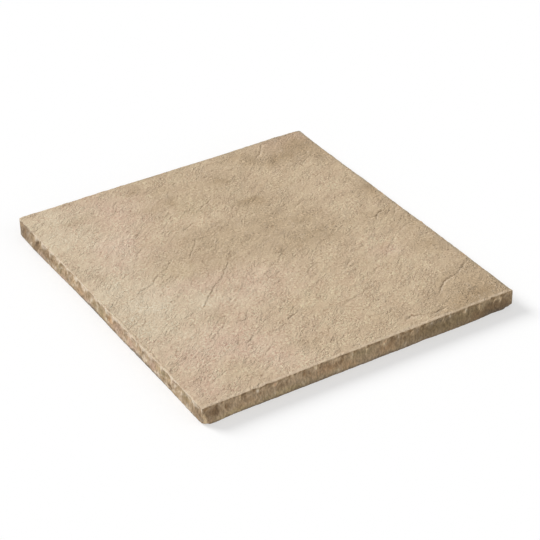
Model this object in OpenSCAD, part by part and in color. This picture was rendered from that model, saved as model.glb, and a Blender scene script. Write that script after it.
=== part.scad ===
// Cast-stone hearth slab with a chiselled edge on all four sides, lying flat.
// The origin is the middle of the underside. X runs across the width, Y along the length, Z up.

/* [Slab] */
// Length of the slab, along Y
slab_length = 508; // [250:0.1:1200]
// Width of the slab, along X
slab_width = 457.2; // [250:0.1:1200]
// Thickness of the slab
slab_thickness = 25.4; // [18:0.1:60]

/* [Chisel strokes] */
// Even distance from one chisel stroke to the next
stroke_pitch = 26; // [20:0.5:60]
// Width of the ridge left standing between two hollows
ridge_width = 1.5; // [0.5:0.1:4]
// Depth of the deepest hollow, measured in from the edge
deepest_hollow = 2.8; // [2:0.1:4]
// Depth of the shallowest hollow
shallowest_hollow = 1.6; // [0.5:0.1:2]
// Height of a hollow, from its lower rim to its upper rim
hollow_height = 15; // [10:0.5:40]
// Distance from the slab's top down to the middle of a hollow
hollow_drop = 8.5; // [6:0.5:30]
// How far a hollow may sit above or below that
hollow_stray = 1.2; // [0:0.1:4]

/* [Arrises and corners] */
// Width of the flat across each upright corner
corner_flat = 1; // [0.5:0.5:12]
// Size of the bevel along the lower arris
lower_bevel = 0.6; // [0.2:0.1:4]
// Size of the bevel along the upper arris
upper_bevel = 0.4; // [0.1:0.1:2]
// How far the largest break under a corner runs in along the edges
break_run = 13; // [4:0.5:30]
// How high that break rises
break_rise = 4; // [1:0.5:12]

/* [Hidden] */

// How far each ridge leaves its even place, in millimetres. The list is gone through again and again.
ridge_strays = [-3, -4, -1, -1, -3, 5, 5, 7, 1, 4, -2, 2, -1, 1, 1, 2, 4];
// Each side starts this many places further along that list.
stray_step = 5;
depth_seed = 41;
height_seed = 77;

// How large the break is under the corner at which each side ends, as a share of the largest.
break_shares = [1, 0.6, 0.3, 0.8];

// What a stroke's slice takes beyond its hollow, so that it comes clear of the edge.
slice_margin = ridge_width / 4;
bar_overshoot = 5;
bevel_angle = 45;
corner_angle = 45;

// Facets in a full turn of a stroke, and of its rounded rim.
turn_facets = 128;
rim_facets = 96;

// Each side as [length along it, distance of its face from the middle, turn about Z].
sides = [
    [slab_width, slab_length / 2, 0],
    [slab_length, slab_width / 2, 90],
    [slab_width, slab_length / 2, 180],
    [slab_length, slab_width / 2, 270]
];

// Radius of the circle whose chord of this width lies depth below the top of its arc.
function arc_radius(width, depth) = (width * width / 4 + depth * depth) / (2 * depth);

// Where the hollows of one side meet, from end to end. The two ends keep their places.
function ridges(side_length, side) =
    let(count = max(1, round(side_length / stroke_pitch)))
    let(step = side_length / count)
    [for (i = [0 : count])
        let(stray = ridge_strays[(side * stray_step + i + len(ridge_strays) - 1) % len(ridge_strays)])
        i * step - side_length / 2 + (i == 0 || i == count ? 0 : stray)];

// The slab's outline, with a small flat across each corner.
function outline() =
    let(x = slab_width / 2, y = slab_length / 2, leg = corner_flat / sqrt(2))
    [
        [-x + leg, -y], [x - leg, -y], [x, -y + leg], [x, y - leg],
        [x - leg, y], [-x + leg, y], [-x, y - leg], [-x, -y + leg]
    ];

module slab_blank() {
    linear_extrude(slab_thickness) polygon(outline());
}

// A slice of a disc with a rounded rim. The rim, sunk to this depth into an edge, leaves a hollow.
module stroke(width, height, depth) {
    reach = arc_radius(width, depth);
    rim = min(arc_radius(height, depth), reach);
    half_turn = asin((width / 2 + slice_margin) / reach);
    translate([0, depth - reach, 0])
        rotate([0, 0, 90 - half_turn])
            rotate_extrude(angle = 2 * half_turn, $fn = turn_facets)
                intersection() {
                    translate([reach - rim, 0]) circle(r = rim, $fn = rim_facets);
                    translate([0, -rim]) square([reach, 2 * rim]);
                }
}

// One side's hollows. The side runs along X here, and its face lies at y = -face.
module strokes(side_length, face, side) {
    at = ridges(side_length, side);
    depths = rands(shallowest_hollow, deepest_hollow, len(at), depth_seed + side);
    strays = rands(-hollow_stray, hollow_stray, len(at), height_seed + side);
    for (i = [0 : len(at) - 2])
        translate([(at[i] + at[i + 1]) / 2, -face, slab_thickness - hollow_drop + strays[i]])
            stroke(at[i + 1] - at[i] - ridge_width, hollow_height, depths[i]);
}

// A long square bar on edge, which planes a bevel of the given size off an arris.
module bevel_bar(side_length, face, height, size) {
    translate([0, -face, height])
        rotate([bevel_angle, 0, 0])
            cube([side_length + 2 * bar_overshoot, size * sqrt(2), size * sqrt(2)], center = true);
}

// What is broken off under the corner at which this side ends.
module corner_break(side_length, face, share) {
    slope = atan(break_rise * sqrt(2) / break_run);
    half = 2 * break_run;
    translate([side_length / 2, -face, break_rise * share])
        rotate([0, 0, -corner_angle])
            rotate([0, -slope, 0])
                translate([-half, -half, -half])
                    cube([2 * half, 2 * half, half]);
}

module hearthstone() {
    color("#c3ad92")
    difference() {
        slab_blank();
        for (i = [0 : len(sides) - 1])
            rotate([0, 0, sides[i][2]]) {
                strokes(sides[i][0], sides[i][1], i);
                bevel_bar(sides[i][0], sides[i][1], 0, lower_bevel);
                bevel_bar(sides[i][0], sides[i][1], slab_thickness, upper_bevel);
                corner_break(sides[i][0], sides[i][1], break_shares[i]);
            }
    }
}

hearthstone();
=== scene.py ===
import math

import bpy
import numpy as np
from mathutils import Matrix, Vector
from mathutils.bvhtree import BVHTree
from mathutils.geometry import delaunay_2d_cdt


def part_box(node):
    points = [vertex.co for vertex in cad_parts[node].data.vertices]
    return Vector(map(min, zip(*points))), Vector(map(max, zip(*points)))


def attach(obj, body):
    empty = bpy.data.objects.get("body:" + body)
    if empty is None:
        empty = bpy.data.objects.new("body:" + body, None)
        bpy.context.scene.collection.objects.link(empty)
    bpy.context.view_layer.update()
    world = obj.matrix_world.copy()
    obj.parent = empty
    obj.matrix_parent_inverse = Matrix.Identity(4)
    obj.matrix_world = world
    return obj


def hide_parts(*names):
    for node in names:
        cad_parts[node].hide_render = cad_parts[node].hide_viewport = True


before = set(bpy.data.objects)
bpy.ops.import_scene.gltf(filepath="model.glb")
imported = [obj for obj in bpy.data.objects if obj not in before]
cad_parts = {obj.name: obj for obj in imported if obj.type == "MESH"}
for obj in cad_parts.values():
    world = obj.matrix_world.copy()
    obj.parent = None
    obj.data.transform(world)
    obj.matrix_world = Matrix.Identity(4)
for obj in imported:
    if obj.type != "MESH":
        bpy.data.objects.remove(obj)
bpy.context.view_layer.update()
cadLow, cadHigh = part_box("hearthstone")
mm = 0.001
width, length, thickness = ((cadHigh - cadLow) / mm)[:]
print(f"slab to finish: {width:.1f} x {length:.1f} x {thickness:.1f} mm")


camera = {
    "lens": 115.75,  # mm
    "sensor": 36,  # mm
    "azimuth": -31.01,  # degrees round from the front
    "elevation": 33.2,  # degrees
    "roll": -1.06,  # degrees
    "distance": 2.3005,  # m from the middle of the top
    "across": 0.0167,  # m that the aim lies right of that middle
    "rise": -0.0234,  # m that it lies above it
}


def circle(degrees):
    return math.cos(math.radians(degrees)), math.sin(math.radians(degrees))


def makeCamera(setup):
    data = bpy.data.cameras.new("viewCamera")
    data.lens = setup["lens"]
    data.sensor_width = setup["sensor"]
    (cosAround, sinAround), (cosUp, sinUp) = circle(setup["azimuth"]), circle(setup["elevation"])
    back = Vector((sinAround * cosUp, -cosAround * cosUp, sinUp))
    right = Vector((cosAround, sinAround, 0))
    up = back.cross(right)
    middle = Vector(((cadLow.x + cadHigh.x) / 2, (cadLow.y + cadHigh.y) / 2, cadHigh.z))
    place = middle + back * setup["distance"] + right * setup["across"] + up * setup["rise"]
    turn = Matrix((right, up, back)).transposed().to_4x4()
    roll = Matrix.Rotation(math.radians(setup["roll"]), 4, "Z")
    lens = bpy.data.objects.new("viewCamera", data)
    lens.matrix_world = Matrix.Translation(place) @ turn @ roll
    bpy.context.scene.collection.objects.link(lens)
    bpy.context.scene.camera = lens


makeCamera(camera)
print("camera placed")


# The noise that the shapes are made from comes round again after this many cells.
lattice = 256


def hills(x, y, cell, seed, turn=0, stretch=1):
    # soft random hills, about -1 to 1, one cell apart and drawn out along turn
    angle = np.random.default_rng(seed).uniform(0, 2 * math.pi, (lattice, lattice))
    c, s = circle(turn)
    u = (x * c + y * s) / (cell * stretch)
    v = (y * c - x * s) / cell
    i, j = np.floor(u).astype(int), np.floor(v).astype(int)
    fu, fv = u - i, v - j

    def pull(a, b):
        way = angle[(i + a) % lattice, (j + b) % lattice]
        return np.cos(way) * (fu - a) + np.sin(way) * (fv - b)

    ease = lambda t: t * t * t * (t * (t * 6 - 15) + 10)
    low = pull(0, 0) + (pull(1, 0) - pull(0, 0)) * ease(fu)
    high = pull(0, 1) + (pull(1, 1) - pull(0, 1)) * ease(fu)
    return 1.5 * (low + (high - low) * ease(fv))


def flakes(x, y, cell, seed, stretch=1):
    # squared distance to the nearest of many scattered points: hollows with sharp rims, 0 to about 1
    shift = np.random.default_rng(seed).uniform(0.1, 0.9, (lattice, lattice, 2))
    u, v = x / cell, y / (cell * stretch)
    i, j = np.floor(u).astype(int), np.floor(v).astype(int)
    nearest = np.full(np.shape(u), 9.0)
    for a in (-1, 0, 1):
        for b in (-1, 0, 1):
            point = shift[(i + a) % lattice, (j + b) % lattice]
            away = (i + a + point[..., 0] - u) ** 2 + (j + b + point[..., 1] - v) ** 2
            nearest = np.minimum(nearest, away)
    return nearest


def ramp(value, low, high):
    t = np.clip((value - low) / (high - low), 0, 1)
    return t * t * (3 - 2 * t)


# Every place on the top is in mm from its front corner: x along the width, y along the length.
topFace = {
    "step": 1.7,  # mm between neighbouring points
    "swell": 0.3,  # mm of slow unevenness
    "ledgeWidth": 1.5,  # mm over which a ledge drops
    "ledgeFade": (2.6, 15),  # mm after which the stone has risen again, quickly and then slowly
    "ledgeLip": 0.25,  # how proud the stone stands just above a ledge, as a share of its drop
    "ledgeWobble": (1.5, 0.7),  # mm that a ledge strays from its line, coarsely and finely
    "ledgeTaper": 9,  # mm over which it fades out at its ends
    "terraceGap": 22,  # mm between the thin layers that break out at the surface
    "terraceDrop": 0.6,
    "flakeGap": 7,  # mm between the small flakes of the cleft
    "flakeDrop": 0.45,
    "grainTurn": 24,  # degrees from x, the way the cleft runs
    "grain": 0.2,  # mm
    "sand": 0.12,  # mm
    "arris": 0.3,  # mm that the outer rim is rounded down
    "rightArris": 0.8,  # mm more on the right, where it is worn
    "leftArris": 0.5,  # mm more on the left
    "rightRimShade": (0.75, 4.5),  # how strong the grey painted shade along the right rim is, and how many mm of it
    "backRimShade": (0.2, 0.5, 3.5),  # how strong the grey painted shade along the back rim is at the left, how much more right, mm of it
    "frontHighlightRim": (2.6, 1.8),  # mm from the front to the middle of its painted highlight along the rim, and its reach
}

# Ledges split open: how far each drops in mm, then the line it follows.
ledges = [
    (1.4, (373, 44), (380, 53), (388, 60), (396, 65), (404, 68), (416, 70)),
    (0.8, (412, 69), (426, 74), (437, 81), (447, 87), (457, 96)),
    (1.3, (300, 17), (305, 22), (312, 24), (319, 22), (325, 20), (330, 19)),
    (1.2, (337, 13), (345, 14), (353, 15), (361, 16), (367, 18)),
    (0.9, (104, 179), (110, 187), (118, 195), (127, 203), (141, 216), (158, 228), (175, 245), (184, 255)),
    (0.9, (50, 254), (58, 258), (68, 260), (76, 262), (80, 268), (88, 275), (96, 281)),
    (0.5, (102, 281), (112, 288), (120, 296), (129, 304)),
    (0.9, (87, 76), (92, 82), (101, 84)),
    (0.9, (107, 83), (116, 88), (128, 96)),
    (0.8, (110, 50), (118, 53), (129, 62), (140, 68)),
    (0.8, (33, 36), (38, 42), (50, 46), (61, 50), (70, 51)),
    (0.6, (26, 64), (33, 65), (45, 73), (58, 80)),
    (0.9, (88, 16), (98, 22)),
    (0.9, (101, 23), (107, 30), (116, 33)),
    (0.8, (0, 14), (8, 20), (17, 21)),
    (0.8, (2, 81), (8, 91)),
    (0.9, (179, 96), (185, 104), (197, 108), (207, 111)),
    (0.5, (0, 191), (12, 194), (24, 197)),
    (0.6, (24, 201), (33, 207), (41, 214)),
    (0.6, (66, 230), (74, 235), (88, 244)),
    (0.7, (120, 129), (130, 132), (134, 128), (142, 138), (151, 150)),
    (0.5, (106, 157), (115, 165), (126, 173)),
    (0.7, (137, 173), (143, 178), (149, 181)),
    (0.8, (255, 172), (262, 181), (270, 187), (279, 191), (286, 188), (291, 181)),
    (1.2, (408, 237), (413, 246), (420, 251), (433, 254)),
    (0.7, (428, 228), (437, 236), (446, 247), (457, 256)),
    (0.9, (348, 190), (358, 194)),
    (0.7, (368, 198), (377, 205), (385, 213), (396, 224)),
    (0.55, (376, 163), (385, 173), (393, 179), (402, 187), (414, 195), (426, 202), (438, 206), (457, 211)),
    (0.5, (280, 151), (290, 152), (299, 154), (306, 161), (316, 167), (323, 176), (332, 181)),
    (0.5, (322, 125), (332, 130), (338, 138), (349, 141)),
    (0.8, (236, 73), (250, 79)),
    (0.6, (258, 89), (266, 94), (276, 97), (288, 99), (304, 104)),
    (0.5, (292, 72), (300, 78), (306, 86)),
    (0.5, (238, 109), (244, 113), (251, 119)),
    (0.5, (250, 231), (261, 241)),
    (1.1, (216, 391), (226, 396), (238, 402), (248, 408)),
    (0.8, (252, 363), (258, 369), (266, 376)),
    (0.7, (301, 346), (308, 351), (314, 355)),
    (0.8, (315, 360), (323, 367)),
    (0.9, (168, 354), (178, 358), (188, 363), (198, 368)),
    (0.8, (191, 317), (200, 322), (212, 329)),
    (0.8, (146, 290), (152, 299), (161, 308), (170, 318), (176, 330)),
    (0.8, (86, 328), (94, 338), (106, 345)),
    (0.7, (104, 372), (112, 376), (120, 383)),
    (0.7, (109, 439), (116, 447), (124, 456)),
    (0.8, (120, 461), (127, 468), (135, 476)),
    (0.6, (52, 416), (62, 424), (72, 432)),
    (0.7, (79, 435), (90, 440)),
    (1.2, (355, 470), (361, 476), (368, 478), (374, 485), (380, 493), (387, 504)),
    (0.8, (382, 457), (388, 463)),
    (0.9, (403, 420), (410, 425), (417, 430)),
    (0.8, (403, 379), (409, 384), (417, 387)),
    (0.8, (364, 382), (372, 388), (379, 398)),
    (0.8, (339, 437), (349, 444)),
    (0.6, (315, 428), (325, 436), (334, 441)),
    (0.7, (390, 314), (397, 319), (414, 324)),
    (0.7, (327, 322), (338, 328), (351, 335)),
    (0.6, (319, 284), (328, 293)),
    (0.8, (289, 429), (298, 438)),
    (0.6, (270, 400), (285, 408), (297, 411), (303, 422)),
    (0.8, (219, 469), (229, 475)),
    (0.7, (265, 461), (276, 468)),
    (0.8, (309, 463), (318, 466)),
    (0.6, (205, 284), (214, 290)),
    (0.5, (10, 275), (20, 281), (30, 288)),
    (0.6, (85, 369), (93, 375)),
    (0.8, (2, 250), (3, 225), (2.5, 205), (2.5, 185), (2.2, 160), (3.3, 138), (2.7, 108), (2.2, 80)),
    (-0.5, (150, 205), (168, 219), (186, 233)),
    (-0.5, (183, 7), (188, 16), (197, 24)),
    (-0.4, (289, 67), (300, 77)),
    (-0.6, (301, 402), (308, 406), (316, 412)),
]

# Small pits left by trapped air: x, y, radius, depth in mm.
pits = [
    (197, 430, 4, 0.8),
    (165, 426, 2.5, 0.8),
    (160, 481, 3, 0.8),
    (375, 450, 5, 0.6),
    (291, 442, 3, 0.6),
]


def drawnOut(points, step=1.0):
    # the line through the points, its corners eased, as evenly spaced places
    points = np.array(points, float)
    run = np.concatenate(([0], np.cumsum(np.linalg.norm(np.diff(points, axis=0), axis=1))))
    at = np.linspace(0, run[-1], max(4, int(run[-1] / step)))
    line = np.stack([np.interp(at, run, points[:, k]) for k in (0, 1)], axis=1)
    for _ in range(6):
        line[1:-1] = (line[:-2] + 2 * line[1:-1] + line[2:]) / 4
    return line, at


def splitLedges(x, y, setup):
    # gives the height change in mm, how far each place lies from the nearest ledge's line, and how strong
    # that ledge is
    rise, cleft, held = np.zeros_like(x), np.zeros_like(x), np.zeros_like(x)
    seam = np.full_like(x, setup["ledgeTaper"])
    coarse, fine = setup["ledgeWobble"]
    wobbleX = x + coarse * hills(x, y, 7, 501) + fine * hills(x, y, 3.6, 504)
    wobbleY = y + coarse * hills(x, y, 7, 502) + fine * hills(x, y, 3.6, 505)
    broken = 0.75 + 0.5 * ramp(hills(x, y, 5, 503), -0.4, 0.5)
    quick, slow = setup["ledgeFade"]
    reach = 2.5 * slow
    for drop, *points in ledges:
        line, at = drawnOut(points)
        low, high = line.min(0) - reach, line.max(0) + reach
        near = (x > low[0]) & (x < high[0]) & (y > low[1]) & (y < high[1])
        place = np.stack([wobbleX[near], wobbleY[near]], axis=1)
        away = ((place[:, None, :] - line[None, :, :]) ** 2).sum(2)
        k = away.argmin(1)
        way = np.gradient(line, axis=0)
        way /= np.linalg.norm(way, axis=1)[:, None]
        offset = place - line[k]
        side = offset[:, 0] * way[k, 1] - offset[:, 1] * way[k, 0]
        past = np.abs(offset[:, 0] * way[k, 0] + offset[:, 1] * way[k, 1])
        taper = min(setup["ledgeTaper"], at[-1] * 0.4)
        strength = ramp(at[k], -1, taper) * ramp(at[-1] - at[k], -1, taper)
        strength *= 1 - ramp(past, 2, setup["ledgeTaper"])
        half = setup["ledgeWidth"] / 2
        below = np.maximum(side, 0)
        profile = ramp(side, -half, half) * (0.65 * np.exp(-below / quick) + 0.35 * np.exp(-below / slow))
        profile -= setup["ledgeLip"] * np.exp(-((side + 1.6) / 1.4) ** 2)
        strength *= broken[near]
        rise[near] -= drop * strength * profile
        weight = max(drop, 0) * strength * np.exp(-np.abs(side) / 4)
        closer = weight > held[near]
        held[near] = np.where(closer, weight, held[near])
        seam[near] = np.where(closer, side, seam[near])
        cleft[near] = np.where(closer, drop * strength, cleft[near])
    return rise, seam, cleft


def acrossCleft(x, y, turn):
    c, s = circle(turn)
    return x * s - y * c


def sawtooth(level, edge):
    # climbs gently and drops back within the last part of each step
    part = level - np.floor(level)
    return part - ramp(part, 1 - edge, 1)


def topRelief(x, y, setup):
    # gives the height in mm from the top's plane, and what its finish reads: the pits' dirt and painted
    # shade, the ledges' lines, the painted shade along the right and back rims and the painted highlight
    # along the front rim
    turn = setup["grainTurn"]
    steep = turn + 16
    rise = setup["swell"] * (hills(x, y, 130, 1) + 0.5 * hills(x, y, 55, 2, turn, 1.6))
    # thin layers of the cleft, broken up so that each shows only here and there
    bent = hills(x, y, 5, 13), hills(x, y, 5, 14)
    bx, by = x + 1.6 * bent[0], y + 1.6 * bent[1]
    level = acrossCleft(x, y, turn) / setup["terraceGap"] + 1.1 * hills(x, y, 60, 3, turn, 1.8)
    level += 0.3 * hills(x, y, 14, 4) + 0.05 * bent[0]
    shown = ramp(hills(bx, by, 11, 5, turn, 2), 0.1, 0.4)
    rise += setup["terraceDrop"] * shown * sawtooth(level, 0.08)
    rough = 0.3 + 1.2 * ramp(hills(x, y, 22, 8, turn, 1.7), -0.5, 0.6)
    level = acrossCleft(x, y, turn) / setup["flakeGap"] + 1.5 * hills(bx, by, 13, 6, turn, 1.9)
    level += 0.6 * hills(x, y, 6, 7, steep, 1.4)
    shown = ramp(hills(x, y, 8, 9, turn, 1.8), -0.1, 0.5) * rough
    rise += setup["flakeDrop"] * shown * sawtooth(level, 0.3)
    bumps = hills(bx, by, 4.2, 10, steep, 1.3) + 0.9 * hills(bx, by, 7, 15, turn, 1.3)
    bumps += 0.5 * hills(x, y, 11, 16, turn - 4, 1.3)
    rise += setup["grain"] * rough * bumps
    rise += setup["sand"] * hills(x, y, 3.6, 11)
    split, seam, cleft = splitLedges(x, y, setup)
    rise += split
    dirtAndShade = np.zeros_like(x)
    for pitX, pitY, radius, depth in pits:
        away = np.hypot(x - pitX, y - pitY) / radius
        rise -= depth * np.exp(-away**2)
        # the pits are darkened with dirt and painted shade
        dirtAndShade += 0.6 * np.exp(-away**2)
    rim = np.minimum(np.minimum(x, width - x), np.minimum(y, length - y)).clip(0)
    rise -= setup["arris"] * np.exp(-rim / 1.6) + setup["rightArris"] * np.exp(-(width - x) / 2.5)
    rise -= setup["leftArris"] * np.exp(-x / 3)
    # painted shade along the right and back rims
    strength, reach = setup["rightRimShade"]
    rimShade = strength * np.exp(-(((width - x) / reach) ** 2))
    least, more, reach = setup["backRimShade"]
    rimShade += np.exp(-(((length - y) / reach) ** 2)) * (least + more * ramp(x, 60, 220))
    rimShade *= (0.65 + 0.35 * hills(x, y, 17, 17)).clip(0)
    # painted highlight: a pale band just inside the front rim
    middle, reach = setup["frontHighlightRim"]
    frontHighlight = np.exp(-(((y - middle) / reach) ** 2)) * ramp(hills(x, y, 9, 18), -1.2, 0.2)
    return rise, {"dirtAndShade": dirtAndShade, "seam": seam, "cleft": cleft, "rimShade": rimShade, "frontHighlight": frontHighlight}


# Soft clouds in the top's colour: each one's middle, how far it reaches along and across, its strength,
# and its turn in degrees if it lies askew.
clouds = {
    "pale": [
        (215, 155, 40, 35, 0.4), (370, 195, 45, 20, 0.35), (395, 285, 28, 22, 0.35),
        (405, 345, 25, 30, 0.35), (200, 368, 40, 20, 0.45), (290, 120, 60, 40, 0.15),
        (225, 60, 45, 28, 0.25), (180, 218, 50, 22, 0.2), (60, 115, 70, 60, 0.12),
        (168, 292, 28, 22, 0.22), (212, 200, 15, 15, 0.3), (385, 138, 25, 14, 0.22),
        (340, 360, 14, 12, 0.2),
    ],
    "cream": [
        (35, 490, 35, 20, 0.6), (145, 182, 22, 22, 0.25), (48, 140, 30, 22, 0.25),
        (12, 175, 20, 30, 0.2), (112, 76, 22, 15, 0.18), (35, 245, 65, 110, 0.75),
        (55, 205, 25, 30, 0.25), (20, 270, 30, 40, 0.1), (120, 195, 35, 22, 0.5, 20),
        (20, 430, 45, 60, 0.65), (75, 400, 30, 25, 0.4), (105, 470, 30, 30, 0.15),
    ],
    "rose": [
        (75, 330, 60, 35, 0.5), (80, 375, 35, 25, 0.6), (120, 440, 45, 60, 0.6),
        (175, 195, 60, 42, 0.45), (110, 235, 50, 20, 0.5), (110, 95, 60, 60, 0.5),
        (40, 100, 50, 55, 0.35), (130, 35, 35, 30, 0.4), (30, 40, 35, 35, 0.5),
        (380, 165, 25, 15, 0.35), (435, 490, 45, 25, 0.9), (75, 255, 26, 26, 0.25),
        (45, 215, 32, 28, 0.16), (40, 435, 32, 28, 0.2), (70, 488, 30, 15, 0.18),
    ],
    "brown": [
        (230, 298, 125, 48, 0.27, 8), (175, 325, 55, 28, 0.12), (285, 330, 18, 60, 0.22),
        (295, 370, 23, 12, 0.75, -10), (320, 298, 25, 15, 0.34), (340, 388, 15, 15, 0.2),
        (445, 292, 12, 15, 0.35), (440, 455, 15, 20, 0.2), (385, 5, 42, 14, 0.5),
        (275, 440, 32, 15, 0.35), (285, 445, 12, 12, 0.4), (197, 430, 10, 9, 0.65),
        (160, 428, 22, 10, 0.35), (160, 480, 14, 11, 0.5), (195, 465, 12, 14, 0.3),
        (380, 450, 22, 11, 0.55, 25), (400, 462, 30, 20, 0.15, 25), (345, 468, 25, 15, 0.4, -20),
        (425, 480, 50, 45, 0.6), (330, 490, 25, 15, 0.3), (448, 320, 15, 22, 0.45),
        (450, 200, 14, 25, 0.3), (440, 430, 15, 30, 0.25), (435, 298, 14, 12, 0.14),
        (212, 440, 18, 18, 0.12), (325, 456, 20, 12, 0.1), (435, 220, 20, 30, 0.1),
        (404, 42, 18, 12, 0.12), (320, 258, 38, 10, 0.4), (270, 240, 35, 14, 0.22, 20),
        (320, 232, 50, 15, 0.2), (380, 258, 12, 8, 0.3), (428, 252, 25, 8, 0.35, 10),
        (110, 154, 14, 10, 0.35), (430, 148, 20, 15, 0.5), (395, 65, 35, 10, 0.35, 20),
        (435, 30, 50, 35, 0.4), (412, 20, 24, 13, 0.45), (442, 75, 25, 40, 0.3), (180, 42, 15, 12, 0.3),
        (95, 20, 10, 10, 0.3), (280, 40, 25, 15, 0.2), (25, 318, 14, 14, 0.3), (60, 455, 20, 15, 0.3),
        (430, 312, 30, 26, 0.22), (430, 225, 30, 50, 0.15), (332, 250, 30, 85, 0.15),
        (385, 25, 32, 28, 0.25), (435, 25, 25, 28, 0.15), (430, 480, 28, 28, 0.2),
        (345, 480, 50, 28, 0.13),
    ],
    "moss": [
        (70, 45, 35, 25, 0.5), (110, 275, 25, 40, 0.35), (215, 405, 25, 20, 0.4),
        (225, 120, 30, 25, 0.2), (115, 358, 22, 22, 0.3), (145, 42, 22, 20, 0.25),
        (140, 104, 30, 20, 0.2), (18, 58, 18, 25, 0.25), (130, 426, 28, 28, 0.15),
        (155, 205, 22, 18, 0.2),
    ],
}


def cloudOver(x, y, kind):
    bentX = x + 11 * hills(x, y, 38, 701) + 4 * hills(x, y, 13, 702)
    bentY = y + 11 * hills(x, y, 38, 703) + 4 * hills(x, y, 13, 704)
    total = np.zeros_like(x)
    for middleX, middleY, along, across, strength, *turn in clouds[kind]:
        c, s = circle(turn[0] if turn else 0)
        u = ((bentX - middleX) * c + (bentY - middleY) * s) / along
        v = ((bentY - middleY) * c - (bentX - middleX) * s) / across
        total += strength * np.exp(-u * u - v * v)
    return total


edgeFace = {
    "rows": 12,  # rows of points from the lower arris to where the upper one starts to round over
    "core": 12,  # mm inside the edge, where the corners' fans of rays meet
    "arris": 0.6,  # mm, how round the upper arris is
    "flakeSize": 10,  # mm
    "flakeDepth": 1.5,
    "strikes": (0.5, 0.15),  # mm, the chisel's upright marks on the front and back, and on the others
    "grit": 0.3,
    "wander": 0.4,  # mm that the whole edge wanders in and out
    "chipSize": 7,  # mm, chips along the upper arris
    "chipDepth": 0.8,
    "chipHeight": 2.4,
    "cornerFade": 9,  # mm over which all this fades towards an upright corner
}

# Where a side bulges: the side, the place along it from the corner that it shares with the front or the
# left, its reach in mm, and how far it stands out at the foot and at the top.
bulges = [
    ("front", 14, 14, 3.2, 0),
    ("front", 318, 12, -1.6, 0),
    ("front", 375, 34, 0.9, 0),
    ("front", 424, 12, -2.4, 0),
    ("front", 450, 8, -1.2, 0),
    ("left", 130, 120, -1.5, 0),
    ("left", 200, 50, 0.9, 0),
    ("left", 375, 40, 1.5, 0),
    ("left", 460, 60, 4.6, 0.3),
    ("right", 130, 70, 0.4, 0.8),
    ("right", 430, 90, 0, -1.2),
    ("back", 165, 70, 0, 1),
    ("back", 410, 70, 0.3, 1.5),
]

# Stains on the front and the left, and the painted highlights of the pale streaks on the ridges: place
# along the side, height above the foot, reach along and up, strength. The back takes over the front's and
# the right the left's, turned round and weaker.
hiddenShare = 0.6
stainsAndHighlights = {
    "umber": {
        "front": [
            (12, 15, 8, 8, 0.6), (370, 9, 90, 14, 0.55), (310, 14, 30, 9, 0.3), (440, 6, 25, 9, 0.5),
            (430, 8, 30, 10, 0.6), (15, 14, 5, 5, 0.8), (4, 12, 3, 9, 0.8),
        ],
        "left": [
            (22, 8, 22, 10, 0.5), (80, 8, 5, 2.5, 2), (210, 12, 6, 6, 0.6), (420, 12, 20, 8, 0.9),
            (451, 10, 5, 7, 1.8), (475, 12, 25, 9, 0.6), (485, 23, 18, 4, 0.8), (490, 10, 14, 9, 0.8),
            (8, 10, 6, 9, 0.8), (360, 8, 10, 4, 0.5),
        ],
    },
    "olive": {
        "front": [
            (120, 4, 60, 6, 0.5), (225, 17, 25, 6, 0.6), (340, 12, 50, 10, 0.7), (405, 12, 45, 12, 0.7),
        ],
        "left": [
            (42, 15, 12, 7, 0.65), (100, 16, 12, 6, 0.5), (135, 17, 7, 5, 0.5), (270, 12, 22, 8, 0.4),
            (383, 13, 7, 6, 0.8),
        ],
    },
    "rust": {
        "front": [
            (60, 9, 20, 4, 0.4), (175, 12, 20, 7, 0.5), (205, 7, 12, 5, 0.5), (262, 10, 16, 6, 0.6),
            (400, 8, 12, 5, 0.5), (6, 6, 4, 4, 0.7),
        ],
        "left": [
            (235, 12, 10, 6, 0.7), (320, 9, 12, 5, 0.5), (180, 10, 16, 6, 0.3),
        ],
    },
    "slate": {
        "front": [
            (100, 1, 130, 2, 0.6), (260, 2, 60, 2.5, 0.6), (345, 20, 14, 4, 0.5), (440, 2, 30, 3, 0.9),
        ],
        "left": [
            (150, 2, 60, 2, 1.3), (290, 2, 50, 2, 1.2), (450, 3, 30, 3, 0.6), (500, 8, 8, 8, 0.6),
        ],
    },
    "blush": {
        "left": [
            (125, 12, 7, 8, 0.8), (180, 9, 12, 7, 0.7), (215, 11, 10, 8, 0.8), (300, 5, 10, 4, 0.6),
            (370, 4, 10, 3, 0.8), (430, 6, 10, 4, 0.8),
        ],
    },
    "straw": {
        "front": [
            (40, 4, 28, 4, 0.9), (110, 5, 25, 4, 0.6), (195, 5, 25, 4, 0.5), (270, 6, 25, 4, 0.4),
        ],
        "left": [
            (100, 17, 12, 5, 0.4), (260, 8, 15, 6, 0.4),
        ],
    },
    # painted highlights: short pale streaks on the ridges just under the arris
    "highlightStreaks": {
        "front": [
            (1, 9, 1.2, 8, 1.6), (52, 20.5, 1.2, 3, 1.6), (78, 21, 1.2, 3, 0.4), (100, 21, 1.2, 3, 1.1),
            (125, 21, 1.2, 3, 0.9), (155, 21, 1.2, 3, 1.4), (161, 20, 1.2, 3, 1.4),
            (185, 21, 1.2, 3, 0.7), (200, 21, 1.2, 3, 0.9), (211, 18, 1.2, 3, 1.1),
            (230, 21, 1.2, 3, 1.4), (258, 20, 1.2, 4, 1.4), (300, 20, 1.2, 4, 1.1),
            (323, 22, 1.2, 2, 1.1), (351, 19, 1.2, 4, 1.1), (379, 21, 1.2, 3, 1.4),
            (405, 19, 1.2, 5, 1.6), (430, 19, 1.2, 5, 1.3), (436, 18, 1.2, 5, 1.3),
        ],
    },
}


# The rim is gone round from the front corner: front, right, back, left. Each side starts at this many mm.
sideNames = ("front", "right", "back", "left")
sideStarts = np.array([0, width, width + length, 2 * width + length])


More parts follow.
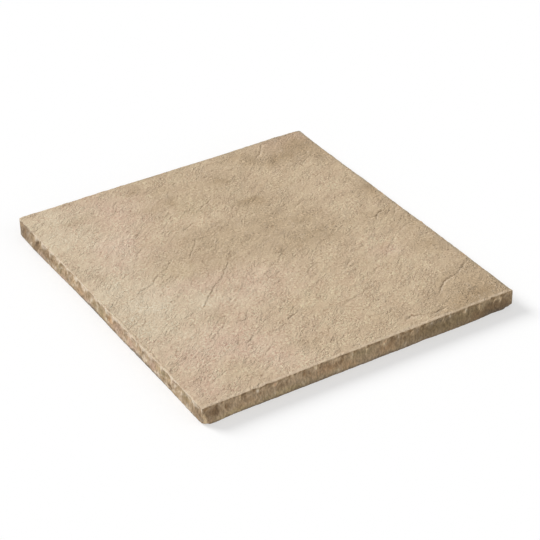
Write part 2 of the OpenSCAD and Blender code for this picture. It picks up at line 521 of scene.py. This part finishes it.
def alongSides(run):
    # the side that each rim place is on, and how far along it lies in the top's own x or y
    side = (np.searchsorted(sideStarts, run, side="right") - 1).clip(0, 3)
    past = [run - start for start in sideStarts]
    return side, np.choose(side, [past[0], past[1], width - past[2], length - past[3]])


def stainAndHighlightOver(run, z, kind):
    side, along = alongSides(run)
    bent = along + 5 * hills(run, z, 14, 711) + 2 * hills(run, z, 5, 712)
    up = z + 2 * hills(run, z, 10, 713) + 1 * hills(run, z, 4, 714)
    total = np.zeros_like(z)
    for on, spots in stainsAndHighlights[kind].items():
        shown, hidden, span = (0, 2, width) if on == "front" else (3, 1, length)
        for middle, height, reach, rise, strength in spots:
            upright = ((up - height) / rise) ** 2
            patch = strength * np.exp(-(((bent - middle) / reach) ** 2) - upright)
            total += np.where(side == shown, patch, 0)
            patch = strength * np.exp(-(((bent - (span - middle)) / reach) ** 2) - upright)
            total += hiddenShare * np.where(side == hidden, patch, 0)
    return total


def edgeShadeAndTone(run, z, cut, own):
    # from -1 in the painted shade of a hollow to 1 on a painted highlight along a ridge, with random tone
    # besides; own is the depth of the small flakes
    down = thickness - z
    deepest = np.where(z > 5, cut, 0).max(0)
    hollowShade = ramp(deepest, 0.2, 0.9) * (1 - ramp(down, 12, 17))
    # painted highlight: pale streaks on the ridges between the hollows, just under the arris
    ridgeHighlight = (1 - ramp(deepest, 0.1, 0.6)) * np.exp(-(((down - 3.5) / 3) ** 2))
    ridgeHighlight *= ramp(hills(run, z, 4, 721, 90, 2), -0.4, 0.3)
    fine, broad = hills(run, z, 3.4, 723), hills(run, z, 12, 724)
    upright = 0.4 * hills(run, z, 5, 722, 90, 1.8) + 0.4 * fine + 0.35 * broad
    lying = 0.5 * hills(run, z, 5, 725, 0, 2.6) + 0.35 * fine + 0.35 * broad
    calm = 0.45 + 0.55 * ramp(z, 3, 14)
    # painted shade: a darker band just under the arris, between the pale streaks
    lip = 0.35 * np.exp(-(((down - 1.5) / 1.5) ** 2)) * (1 - ridgeHighlight)
    # painted light: paler low down where the stone bulges out and faces up, painted shade where the small
    # flakes cut deep, and darker at the very foot
    shadeAndTone = 0.25 * ramp(down, 13, 18) - 0.4 * own - 0.4 * np.exp(-z / 1.2)
    # the front and the back have painted highlights as pale streaks between the hollows, painted shade in
    # the hollows, and a band of painted shade just under the arris between the streaks
    front = shadeAndTone + (ridgeHighlight - 0.3 * hollowShade) - lip + calm * upright
    # painted light: the left and the right are paler towards the top, with a broad painted highlight along
    # the arris and weaker painted shade in the hollows
    paintedLight = 0.5 * np.exp(-down / 9) + 0.3 * ridgeHighlight - 0.25 * hollowShade
    left = shadeAndTone + paintedLight + (np.exp(-down / 4.5) + 1.8 * lying)
    return np.where(alongSides(run)[0] % 2 == 0, front, left)


def ringOrder(nx, ny):
    # grid places along the rim, round the slab from the front corner
    order = [(i, 0) for i in range(nx)] + [(nx, j) for j in range(ny)]
    return np.array(order + [(i, ny) for i in range(nx, 0, -1)] + [(0, j) for j in range(ny, 0, -1)])


def cadDepths(rim, out, heights):
    # how deep the chisel cut at each place round the rim and each height, in mm, felt from outside
    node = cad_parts["hearthstone"]
    corners, sides = [v.co for v in node.data.vertices], [p.vertices for p in node.data.polygons]
    tree = BVHTree.FromPolygons(corners, sides)
    clear = 15  # mm outside the rim where each ray starts
    depths = np.zeros((len(heights), len(rim)))
    middle = (cadLow + cadHigh) / 2
    for row, z in enumerate(heights):
        for k, (place, way) in enumerate(zip(rim, out)):
            start = place + way * clear
            origin = Vector((start[0] * mm + middle.x, start[1] * mm + middle.y, z * mm + cadLow.z))
            hit, _, _, gone = tree.ray_cast(origin, Vector((-way[0], -way[1], 0)))
            depths[row, k] = gone / mm - clear if hit else 0
    return depths


def edgeHeights(setup):
    # rows of points, with two more where the upper arris rounds over
    straight = np.linspace(0, thickness - setup["arris"], setup["rows"])
    return np.append(straight, thickness - setup["arris"] * np.array([0.55, 0.2]))


def edgeRelief(run, z, toCorner, setup):
    # depth in mm that the small flakes and chips add, for places run mm round the rim at height z
    bent = run + 2 * hills(run, z, 9, 21)
    depth = setup["flakeDepth"] * (0.2 - flakes(bent, z, setup["flakeSize"], 22, 1.5))
    depth += 0.5 * setup["flakeDepth"] * (0.2 - flakes(bent, z, 0.5 * setup["flakeSize"], 23, 1.3))
    side, along = alongSides(run)
    depth += np.where(side % 2 == 0, *setup["strikes"]) * hills(run, z, 3.6, 24, 90, 3)
    depth += setup["grit"] * hills(run, z, 3.4, 25)
    depth *= 0.3 + 0.7 * ramp(thickness - z, 0.5, 4)
    level = np.zeros_like(run)
    chip = ramp(hills(run, level, setup["chipSize"], 27) + 0.5 * hills(run, level, 3, 28), 0.25, 1)
    depth += setup["chipDepth"] * chip * np.exp(-(((thickness - z) / setup["chipHeight"]) ** 2))
    own = depth * ramp(toCorner, 0, setup["cornerFade"])
    depth = depth.clip(-0.6) + setup["wander"] * hills(run, level, 70, 26)
    for on, middle, reach, foot, head in bulges:
        swell = np.exp(-(((along - middle) / reach) ** 2)) * (foot + (head - foot) * z / thickness)
        depth -= np.where(side == sideNames.index(on), swell, 0)
    depth *= ramp(toCorner, 0, setup["cornerFade"]) * (0.55 + 0.45 * ramp(z, 0, 5))
    over = (z - thickness + setup["arris"]).clip(0, setup["arris"])
    return depth + setup["arris"] - np.sqrt(setup["arris"] ** 2 - over**2), own


slab = {
    "name": "hearthSlab",
    "undersideStep": 22,  # mm between points on the flat underside
    "topShare": 0.00165,  # how much of the texture one mm of the top takes
    "undersideShare": 0.00034,
}


def followRim(nx, ny, order, rimMove):
    # how the top's outer rows go along with its wavy rim, less and less over the first few
    rows = 6
    rimMoves = np.zeros((nx + 1, ny + 1, 2))
    rimMoves[order[:, 0], order[:, 1]] = rimMove
    move, weight = np.zeros_like(rimMoves), np.zeros((nx + 1, ny + 1))
    for axis, count in ((0, nx), (1, ny)):
        steps = np.arange(count + 1)
        for away, border in ((steps, 0), (count - steps, -1)):
            fade = (1 - away / rows).clip(0)
            if axis == 0:
                fade, shift = fade[:, None], rimMoves[border][None, :, :]
            else:
                fade, shift = fade[None, :], rimMoves[:, border][:, None, :]
            move += (fade**2)[..., None] * shift
            weight += fade
    move /= np.maximum(weight, 1e-6)[..., None]
    move[order[:, 0], order[:, 1]] = rimMove
    return move


def layUnderside(lowerRim, step):
    # a coarse grid inside the lower rim, and the downward triangles that join the two
    inset = 8  # mm from the rim to the grid
    gridX = np.linspace(-width / 2 + inset, width / 2 - inset, round(width / step))
    gridY = np.linspace(-length / 2 + inset, length / 2 - inset, round(length / step))
    inside = np.array([(a, b) for a in gridX for b in gridY])
    flatPoints = np.concatenate([lowerRim, inside])
    count = len(lowerRim)
    loop = [(k, (k + 1) % count) for k in range(count)]
    joined = delaunay_2d_cdt([Vector(p) for p in flatPoints], loop, [], 1, 1e-7)
    found, triangles, source = joined[0], joined[2], joined[3]
    assert len(found) == len(flatPoints)
    return inside, [[source[k][0] for k in reversed(triangle)] for triangle in triangles]


def buildSlab(setup):
    nx, ny = round(width / topFace["step"]), round(length / topFace["step"])
    gridX, gridY = np.linspace(0, width, nx + 1), np.linspace(0, length, ny + 1)
    x, y = np.meshgrid(gridX, gridY, indexing="ij")

    # the rim, its outward directions and the hollows that the CAD solid has there
    order = ringOrder(nx, ny)
    nominal = np.stack([gridX[order[:, 0]] - width / 2, gridY[order[:, 1]] - length / 2], axis=1)
    half = np.array([width, length]) / 2 - edgeFace["core"]
    inner = np.clip(nominal, -half, half)
    out = nominal - inner
    out /= np.linalg.norm(out, axis=1)[:, None]
    run = np.concatenate(([0], np.cumsum(np.linalg.norm(np.diff(nominal, axis=0), axis=1))))
    heights = edgeHeights(edgeFace)
    felt = np.append(heights, thickness).clip(0.02, thickness - 0.5)
    cut = cadDepths(nominal, out, felt)
    print(f"felt the chiselled edge at {cut.size} places, {cut.max():.1f} mm deep at most")

    toCorner = np.hypot(width / 2 - np.abs(nominal[:, 0]), length / 2 - np.abs(nominal[:, 1]))
    allRun, allZ = np.meshgrid(run, np.append(heights, thickness))
    relief, own = edgeRelief(allRun, allZ, toCorner[None, :], edgeFace)
    depth = cut + relief

    move = followRim(nx, ny, order, -out * depth[-1][:, None])
    rise, topNotes = topRelief(x, y, topFace)
    flatX, flatY = x - width / 2 + move[..., 0], y - length / 2 + move[..., 1]
    topPoints = np.stack([flatX, flatY, thickness + rise], axis=2)

    # side rows, from the lower arris up, each column as tall as the top is there
    rimTop = topPoints[order[:, 0], order[:, 1], 2]
    rows = []
    for row, z in enumerate(heights):
        flat = nominal - out * depth[row][:, None]
        rows.append(np.column_stack([flat, z * rimTop / thickness]))
    ringCount = len(order)
    topCount = (nx + 1) * (ny + 1)

    inside, triangles = layUnderside(rows[0][:, :2], setup["undersideStep"])
    flatInside = np.column_stack([inside, np.zeros(len(inside))])
    points = np.concatenate([topPoints.reshape(-1, 3)] + rows + [flatInside])

    grid = np.arange(topCount).reshape(nx + 1, ny + 1)
    quads = np.stack([grid[:-1, :-1], grid[1:, :-1], grid[1:, 1:], grid[:-1, 1:]], axis=2).reshape(-1, 4)
    rings = [topCount + row * ringCount + np.arange(ringCount) for row in range(len(heights))]
    rings.append(grid[order[:, 0], order[:, 1]])
    walls = []
    for low, high in zip(rings[:-1], rings[1:]):
        walls.append(np.stack([low, np.roll(low, -1), np.roll(high, -1), high], axis=1))
    walls = np.concatenate(walls)
    below = np.append(rings[0], topCount + ringCount * len(heights) + np.arange(len(inside)))
    faces = [tuple(map(int, quad)) for quad in np.concatenate([quads, walls])]
    faces += [tuple(int(below[k]) for k in triangle) for triangle in triangles]

    mesh = bpy.data.meshes.new(setup["name"])
    foot = np.array([(cadLow.x + cadHigh.x) / 2, (cadLow.y + cadHigh.y) / 2, cadLow.z])
    mesh.from_pydata(points * mm + foot, [], faces)
    finishOf = np.repeat([0, 1, 2], [len(quads), len(walls), len(triangles)])
    mesh.polygons.foreach_set("material_index", finishOf)
    mesh.polygons.foreach_set("use_smooth", np.ones(len(faces), bool))

    # what the finishes read: the top's relief and clouds of colour, the edge's tone with its painted shade
    # and painted light, its stains and its painted highlight streaks
    notes = topNotes | {"shadeAndTone": edgeShadeAndTone(allRun, allZ, cut, own)}
    notes |= {kind: cloudOver(x, y, kind) for kind in clouds}
    notes |= {kind: stainAndHighlightOver(allRun, allZ, kind) for kind in stainsAndHighlights}
    for name, values in notes.items():
        spots = np.zeros(len(points))
        if values.shape == x.shape:
            spots[:topCount] = values.reshape(-1)
        else:
            spots[np.stack(rings)] = values
        mesh.attributes.new(name, "FLOAT", "POINT").data.foreach_set("value", spots.astype(np.float32))
    addTextureMap(mesh, points, run, rings, len(quads), len(walls), setup)
    mesh.validate()
    piece = bpy.data.objects.new(setup["name"], mesh)
    bpy.context.scene.collection.objects.link(piece)
    count = sum(len(p.vertices) - 2 for p in mesh.polygons)
    print(f"slab built: {len(points)} points, {count} triangles")
    return piece


def addTextureMap(mesh, points, run, rings, quadCount, wallCount, setup):
    # the top fills most of the sheet, the four edges stand beside it and the underside lies above
    share, lowShare, gap = setup["topShare"], setup["undersideShare"], 0.006
    beside, above = 2 * gap + (width + 3) * share, 2 * gap + (length + 3) * share
    layer = mesh.uv_layers.new(name="OFBake")
    vertexOf = np.empty(len(mesh.loops), np.int32)
    mesh.loops.foreach_get("vertex_index", vertexOf)
    uv = np.zeros((len(vertexOf), 2))
    flat = points[vertexOf]
    topLoops = np.arange(len(vertexOf)) < 4 * quadCount
    underLoops = np.arange(len(vertexOf)) >= 4 * (quadCount + wallCount)
    wallLoops = ~(topLoops | underLoops)
    uv[topLoops, 0] = gap + (flat[topLoops, 0] + width / 2 + 1) * share
    uv[topLoops, 1] = gap + (flat[topLoops, 1] + length / 2 + 1) * share
    uv[underLoops, 0] = gap + (flat[underLoops, 1] + length / 2) * lowShare
    uv[underLoops, 1] = above + (flat[underLoops, 0] + width / 2) * lowShare
    # a wall's loops come four to a face: low, low next, high next, high
    ringCount = len(rings[0])
    face = np.repeat(np.arange(wallCount), 4)
    corner = np.tile([0, 1, 1, 0], wallCount)
    total = run[-1] + np.linalg.norm(points[rings[0][0], :2] - points[rings[0][-1], :2])
    along = np.append(run, total)[face % ringCount + corner]
    row = face // ringCount + np.tile([0, 0, 1, 1], wallCount)
    rowHeight = np.append(edgeHeights(edgeFace), thickness + 0.8)
    side = np.searchsorted(sideStarts, along - (corner > 0) * 1e-6, side="right") - 1
    side = side.clip(0, 3)
    uv[wallLoops, 0] = beside + side * ((thickness + 3) * share) + rowHeight[row] * share
    uv[wallLoops, 1] = gap + (along - sideStarts[side]) * share
    layer.data.foreach_set("uv", uv.astype(np.float32).reshape(-1))


stone = buildSlab(slab)
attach(stone, "root")
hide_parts("hearthstone")


def newFinish(name, roughness, shine):
    finish = bpy.data.materials.new(name)
    finish.use_nodes = True
    tree = finish.node_tree
    tree.nodes.clear()
    sheet = tree.nodes.new("ShaderNodeOutputMaterial")
    surface = tree.nodes.new("ShaderNodeBsdfPrincipled")
    tree.links.new(surface.outputs[0], sheet.inputs["Surface"])
    surface.inputs["Roughness"].default_value = roughness
    surface.inputs["Specular IOR Level"].default_value = shine
    return finish, tree, surface


def colour(red, green, blue):
    # from the 0-255 values of a screen colour
    shares = (red / 255, green / 255, blue / 255)
    return (*(c / 12.92 if c <= 0.04045 else ((c + 0.055) / 1.055) ** 2.4 for c in shares), 1)


def ownPlaces(tree, scale=(1, 1, 1), turn=0):
    # the piece's own coordinates in mm, turned about Z and stretched
    source = tree.nodes.new("ShaderNodeTexCoord")
    shift = tree.nodes.new("ShaderNodeMapping")
    shift.vector_type = "TEXTURE"
    shift.inputs["Rotation"].default_value = (0, 0, math.radians(turn))
    shift.inputs["Scale"].default_value = [s * mm for s in scale]
    tree.links.new(source.outputs["Object"], shift.inputs["Vector"])
    return shift.outputs[0]


def mottle(tree, cell, detail=3, rough=0.5, scale=(1, 1, 1), turn=0, twist=0):
    noise = tree.nodes.new("ShaderNodeTexNoise")
    noise.inputs["Scale"].default_value = 1 / cell
    noise.inputs["Detail"].default_value = detail
    noise.inputs["Roughness"].default_value = rough
    noise.inputs["Distortion"].default_value = twist
    tree.links.new(ownPlaces(tree, scale, turn), noise.inputs["Vector"])
    return noise.outputs["Fac"]


def spread(tree, value, low, high, outLow=0, outHigh=1, easing="SMOOTHSTEP"):
    fit = tree.nodes.new("ShaderNodeMapRange")
    fit.interpolation_type = easing
    ends = (("From Min", low), ("From Max", high), ("To Min", outLow), ("To Max", outHigh))
    for socket, number in ends:
        fit.inputs[socket].default_value = number
    tree.links.new(value, fit.inputs["Value"])
    return fit.outputs["Result"]


def reckon(tree, operation, first, second=None):
    step = tree.nodes.new("ShaderNodeMath")
    step.operation = operation
    for socket, value in zip(step.inputs, (first, second)):
        if isinstance(value, (int, float)):
            socket.default_value = value
        elif value:
            tree.links.new(value, socket)
    return step.outputs[0]


def awayFrom(tree, value, middle):
    return reckon(tree, "ABSOLUTE", reckon(tree, "SUBTRACT", value, middle))


def cleftSteps(tree, turn, gap, bend, bendCell):
    # climbs gently across the cleft and drops sharply, once in each gap of mm, bent by noise
    wave = tree.nodes.new("ShaderNodeTexWave")
    wave.wave_profile = "SAW"
    scale = math.pi / 10 / gap
    bendScale = 1 / (scale * bendCell)
    settings = (("Scale", scale), ("Distortion", bend), ("Detail", 3), ("Detail Scale", bendScale))
    for socket, number in settings:
        wave.inputs[socket].default_value = number
    tree.links.new(ownPlaces(tree, turn=turn - 90), wave.inputs["Vector"])
    return wave.outputs["Fac"]


def creases(tree, turn, cell, stretch, thin, shown):
    # thin winding lines drawn out along turn, 1 on the line; they show only where their own mask is high
    noise = mottle(tree, cell, 2, 0.5, (stretch, 1, 1), turn, 0.3)
    line = spread(tree, awayFrom(tree, noise, 0.5), 0, thin, 1, 0)
    mask = spread(tree, mottle(tree, 1.6 * cell, 2, 0.6, (stretch, 1, 1), turn + 20), *shown)
    return reckon(tree, "MULTIPLY", line, mask)


def blendColour(tree, share, first, second, mode="MIX"):
    mix = tree.nodes.new("ShaderNodeMix")
    mix.data_type = "RGBA"
    mix.blend_type = mode
    for socket, value in ((mix.inputs[0], share), (mix.inputs[6], first), (mix.inputs[7], second)):
        if isinstance(value, (int, float, tuple)):
            socket.default_value = value
        else:
            tree.links.new(value, socket)
    return mix.outputs[2]


def shade(tree, base, value, share):
    # darkens the base where the value is low and lightens it where it is high
    grey = blendColour(tree, value, (0, 0, 0, 1), (1, 1, 1, 1))
    return blendColour(tree, share, base, grey, "OVERLAY")


def readOff(tree, name):
    note = tree.nodes.new("ShaderNodeAttribute")
    note.attribute_name = name
    return note.outputs["Fac"]


def addBump(tree, surface, layers):
    # layers of height, each with its depth in mm
    last = None
    for height, depth in layers:
        bump = tree.nodes.new("ShaderNodeBump")
        bump.inputs["Distance"].default_value = depth * mm
        tree.links.new(height, bump.inputs["Height"])
        if last:
            tree.links.new(last, bump.inputs["Normal"])
        last = bump.outputs[0]
    tree.links.new(last, surface.inputs["Normal"])


def dab(tree, base, name, paint, share=1):
    # lays the paint over the base as thickly as the mesh's own note says
    return blendColour(tree, spread(tree, readOff(tree, name), 0, 1, 0, share, "LINEAR"), base, paint)


slateFinish = {
    "stone": colour(201, 179, 150),
    "pale": colour(218, 195, 166),
    "cream": colour(218, 201, 175),
    "rose": colour(217, 189, 169),
    "brown": colour(171, 148, 118),
    "moss": colour(201, 182, 149),
    "grey": colour(158, 147, 124),  # painted shade on the rims on the right and at the back, with rusty places
    "rust": colour(186, 150, 112),
    # dirt and painted shade, in the pits and at the ledges' feet
    "dirtAndShade": colour(116, 90, 62),
    # painted shade in the creases
    "creaseShadeColour": colour(146, 114, 80),
    # painted highlight: the pale of the front rim, of the slopes beyond the ledges and of the lines that
    # stand up
    "lip": colour(222, 202, 176),
    "roughness": 0.88,
    "shine": 0.25,
    "cleftTurn": 40,  # degrees from x
    "haze": 0.07,  # how strong the soft mottling is
    "specks": (0.06, 0.3),  # how strong the specks are where they are weakest and strongest
    "ledgeFootDirtAndShade": 0.4,  # how dark the thin line of dirt and painted shade at a ledge's foot is
    "ledgeHighlight": 0.45,  # how pale the painted highlight is on the slope beyond it
    "cleftSteps": 0.35,  # mm, the small sharp steps of the cleft
    "cleftGrain": 2.4,  # mm, its small bumps
    "creases": 0.2,  # mm, its thin winding lines
    "creaseShade": 0.22,  # how dark the painted shade in them is
    "proudHighlight": 0.4,  # how pale the painted highlight is on the lines that stand up
    "ribs": 1.9,  # mm, its larger bumps
    "sand": 0.4,
}


def makeSlate(setup):
    finish, tree, surface = newFinish("slateFace", setup["roughness"], setup["shine"])
    base = setup["stone"]
    for name in ("pale", "rose", "cream", "moss", "brown"):
        base = dab(tree, base, name, setup[name])
    turn, along = setup["cleftTurn"], (1.6, 1, 1)
    haze = spread(tree, mottle(tree, 16, 4, 0.55, (1.5, 1, 1), turn - 12), 0.3, 0.7)
    base = shade(tree, base, haze, setup["haze"])
    specks = spread(tree, mottle(tree, 3.2, 3, 0.6), 0.3, 0.7)
    base = shade(tree, base, specks, spread(tree, mottle(tree, 14, 3, 0.6), 0.38, 0.62, *setup["specks"]))
    # painted shade on the right and back rims, grey with rusty places, and painted highlight on the front
    # rim
    rimShadeColour = spread(tree, mottle(tree, 14, 2), 0.5, 0.62)
    rimShadeColour = blendColour(tree, rimShadeColour, setup["grey"], setup["rust"])
    base = blendColour(tree, readOff(tree, "rimShade"), base, rimShadeColour)
    base = blendColour(tree, spread(tree, readOff(tree, "frontHighlight"), 0, 1, 0, 0.7), base, setup["lip"])
    # each ledge has a thin foot darkened with dirt and painted shade, and a painted highlight on the slope
    # beyond it
    seam, cleft = readOff(tree, "seam"), readOff(tree, "cleft")
    foot = spread(tree, awayFrom(tree, seam, 0.2), 0.2, 0.9, setup["ledgeFootDirtAndShade"], 0)
    slopeHighlight = spread(tree, awayFrom(tree, seam, 2.1), 0.2, 1.5, setup["ledgeHighlight"], 0)
    base = blendColour(tree, reckon(tree, "MULTIPLY", slopeHighlight, cleft), base, setup["lip"])
    base = blendColour(tree, reckon(tree, "MULTIPLY", foot, cleft), base, setup["dirtAndShade"])
    # dirt and painted shade in the pits
    base = blendColour(tree, spread(tree, readOff(tree, "dirtAndShade"), 0.15, 1.2, 0, 0.35), base, setup["dirtAndShade"])
    # small steps and winding lines, each only in places
    shown = spread(tree, mottle(tree, 14, 3, 0.6, along, turn), 0.48, 0.62)
    steps = reckon(tree, "MULTIPLY", cleftSteps(tree, turn, 8, 5, 16), shown)
    shown = spread(tree, mottle(tree, 9, 3, 0.6, along, turn + 7), 0.46, 0.6)
    finer = reckon(tree, "MULTIPLY", cleftSteps(tree, turn + 186, 5, 4, 11), shown)
    long = creases(tree, turn - 6, 11, 2.2, 0.03, (0.5, 0.6))
    short = creases(tree, turn + 8, 6, 1.8, 0.05, (0.5, 0.62))
    proud = creases(tree, turn + 2, 7, 2, 0.04, (0.48, 0.6))
    # the winding creases are darkened with painted shade
    dark = reckon(tree, "MULTIPLY", reckon(tree, "ADD", long, short), setup["creaseShade"])
    base = blendColour(tree, dark, base, setup["creaseShadeColour"])
    # painted highlight on the lines that stand up
    base = blendColour(tree, reckon(tree, "MULTIPLY", proud, setup["proudHighlight"]), base, setup["lip"])
    layers = [(mottle(tree, 1.2, 3, 0.6), setup["sand"])]
    layers += [(reckon(tree, "MULTIPLY", long, -1), setup["creases"])]
    layers += [(reckon(tree, "MULTIPLY", short, -1), 0.45 * setup["creases"])]
    layers += [(proud, 1.3 * setup["creases"])]
    patchy = spread(tree, mottle(tree, 20, 3, 0.5, along, turn), 0.4, 0.62, 0.3, 1)
    for cell, depth in ((4.5, setup["ribs"]), (2.5, setup["cleftGrain"])):
        bumps = reckon(tree, "SUBTRACT", mottle(tree, cell, 3, 0.5, (1.4, 1, 1), turn + cell), 0.5)
        layers += [(reckon(tree, "MULTIPLY", bumps, patchy), depth)]
    layers += [(steps, setup["cleftSteps"]), (finer, setup["cleftSteps"] * 0.8)]
    tree.links.new(base, surface.inputs["Base Color"])
    addBump(tree, surface, layers)
    return finish


edgeFinish = {
    # dark and pale are the ends that the tone's painted shade and painted highlights reach, with its random
    # tone
    "dark": colour(141, 114, 83),
    "stone": colour(187, 163, 133),
    "pale": colour(223, 205, 181),
    "umber": colour(126, 102, 75),
    "olive": colour(152, 137, 101),
    "rust": colour(188, 147, 108),
    "slate": colour(126, 116, 104),
    "blush": colour(214, 184, 163),
    "straw": colour(207, 185, 140),
    # painted highlight for the pale streaks on the ridges
    "highlightStreaks": colour(232, 203, 164),
    "roughness": 0.9,
    "shine": 0.25,
    "dabShare": 0.8,  # how strong the stains and the painted highlight streaks are
    "grain": 0.28,  # how strong the grain is
    "grit": 0.35,  # mm
    "ribs": 1.3,  # mm, its upright bumps
}


def makeEdge(setup):
    finish, tree, surface = newFinish("chiselledEdge", setup["roughness"], setup["shine"])
    # the tone carries painted shade in the hollows and under the arris, painted light low down and on the
    # left and right, painted highlights on the ridges, and random tone
    shadeAndTone = readOff(tree, "shadeAndTone")
    base = blendColour(tree, spread(tree, shadeAndTone, -1, 0), setup["dark"], setup["stone"])
    base = blendColour(tree, spread(tree, shadeAndTone, 0.1, 1), base, setup["pale"])
    # the last of these is the painted highlight of the pale streaks on the ridges
    for name in ("straw", "olive", "rust", "blush", "umber", "slate", "highlightStreaks"):
        base = dab(tree, base, name, setup[name], setup["dabShare"])
    grain = spread(tree, mottle(tree, 2.2, 3, 0.6, (1, 1, 2.2)), 0.3, 0.7)
    base = shade(tree, base, grain, setup["grain"])
    tree.links.new(base, surface.inputs["Base Color"])
    ribs = mottle(tree, 2.6, 3, 0.6, (1, 1, 2))
    addBump(tree, surface, [(mottle(tree, 1.3, 3, 0.6), setup["grit"]), (ribs, setup["ribs"])])
    return finish


undersideFinish = {
    "stone": colour(184, 168, 146),
    "dark": colour(164, 147, 124),
    "roughness": 0.92,
    "shine": 0.2,
    "grit": 0.2,  # mm
}


def makeUnderside(setup):
    finish, tree, surface = newFinish("castUnderside", setup["roughness"], setup["shine"])
    base = blendColour(tree, spread(tree, mottle(tree, 60, 4), 0.35, 0.65), setup["stone"], setup["dark"])
    tree.links.new(base, surface.inputs["Base Color"])
    addBump(tree, surface, [(mottle(tree, 2.5, 4, 0.6), setup["grit"])])
    return finish


for finish in (makeSlate(slateFinish), makeEdge(edgeFinish), makeUnderside(undersideFinish)):
    stone.data.materials.append(finish)
print("finishes made")


studio = {
    "floorSize": 60,  # m
    "floorGap": 0.05,  # mm that it lies below the slab, so that the two don't fight for the same plane
    "floorBounce": 0.85,  # how pale the floor is to the light that it throws back
    "floorGlow": 0.5,  # how much of the floor's white the camera sees even in shadow
    "sky": 0.4,  # light from all round on a level surface; with that of the lamps it makes 1
}

# Each lamp's light on a level surface, where it comes from in degrees round from x and above the floor, and
# how far it is spread, which softens its shadow.
lamps = {
    "sun": (0.51, 121, 36, 28),
    "fill": (0.09, -60, 30, 60),
}


def makeFloor(setup):
    half = setup["floorSize"] / 2
    height = cadLow.z - setup["floorGap"] * mm
    corners = [(x * half, y * half, height) for x, y in ((-1, -1), (1, -1), (1, 1), (-1, 1))]
    mesh = bpy.data.meshes.new("floor")
    mesh.from_pydata(corners, [], [(0, 1, 2, 3)])
    floor = bpy.data.objects.new("floor", mesh)
    bpy.context.scene.collection.objects.link(floor)
    finish, tree, surface = newFinish("paleFloor", 1, 0)
    path = tree.nodes.new("ShaderNodeLightPath")
    byCamera = path.outputs["Is Camera Ray"]
    bounce, glow = setup["floorBounce"], setup["floorGlow"]
    seen = blendColour(tree, byCamera, (bounce, bounce, bounce, 1), (1 - glow, 1 - glow, 1 - glow, 1))
    tree.links.new(seen, surface.inputs["Base Color"])
    emission = spread(tree, byCamera, 0, 1, 0, glow, "LINEAR")
    tree.links.new(emission, surface.inputs["Emission Strength"])
    surface.inputs["Emission Color"].default_value = (1, 1, 1, 1)
    mesh.materials.append(finish)


def makeLight(setup):
    world = bpy.data.worlds.new("studio")
    bpy.context.scene.world = world
    world.use_nodes = True
    tree = world.node_tree
    tree.nodes.clear()
    path = tree.nodes.new("ShaderNodeLightPath")
    sky = tree.nodes.new("ShaderNodeBackground")
    sky.inputs["Strength"].default_value = setup["sky"]
    seen = tree.nodes.new("ShaderNodeBackground")
    mix = tree.nodes.new("ShaderNodeMixShader")
    sheet = tree.nodes.new("ShaderNodeOutputWorld")
    for background in (sky, seen):
        background.inputs["Color"].default_value = (1, 1, 1, 1)
    tree.links.new(path.outputs["Is Camera Ray"], mix.inputs[0])
    tree.links.new(sky.outputs[0], mix.inputs[1])
    tree.links.new(seen.outputs[0], mix.inputs[2])
    tree.links.new(mix.outputs[0], sheet.inputs["Surface"])

    for name, (light, azimuth, height, spreadOut) in lamps.items():
        lamp = bpy.data.lights.new(name, "SUN")
        (cosAround, sinAround), (cosUp, sinUp) = circle(azimuth), circle(height)
        lamp.energy = math.pi * light / sinUp
        lamp.angle = math.radians(spreadOut)
        towards = Vector((cosAround * cosUp, sinAround * cosUp, sinUp))
        holder = bpy.data.objects.new(name, lamp)
        holder.rotation_mode = "QUATERNION"
        holder.rotation_quaternion = towards.to_track_quat("Z", "Y")
        bpy.context.scene.collection.objects.link(holder)
    bpy.context.scene.view_settings.view_transform = "Standard"


makeFloor(studio)
makeLight(studio)
print("floor and light made")
